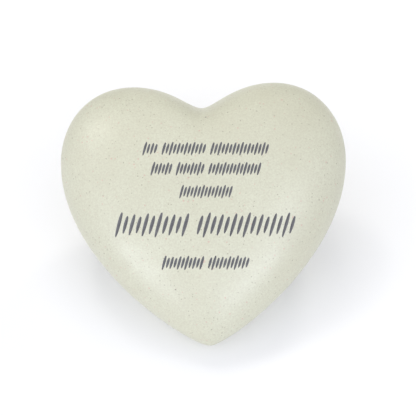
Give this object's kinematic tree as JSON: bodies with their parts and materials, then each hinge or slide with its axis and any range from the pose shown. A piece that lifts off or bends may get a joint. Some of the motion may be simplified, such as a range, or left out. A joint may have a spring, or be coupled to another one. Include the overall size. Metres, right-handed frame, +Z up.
{
  "type": "heart headstone",
  "caption": "Pillow-shaped heart memorial stone in pale cast stone that leans back on its own flat foot, with rows of painted chisel cuts on its domed face.",
  "frame": {"origin": "middle of the flat foot, on the ground", "axes": "+Z up; the cut face looks towards -Y and upwards, at 35 degrees to the ground; +X is to the right of someone reading the face"},
  "size_m": [0.2, 0.1572, 0.1241],
  "materials": {
    "cast_stone": "smooth cast stone, cream with a green cast and fine dark and pink specks, soft sheen; cuts painted mid grey"
  },
  "bodies": {
    "root": {"heart_stone": "cast_stone"}
  },
  "joints": []
}
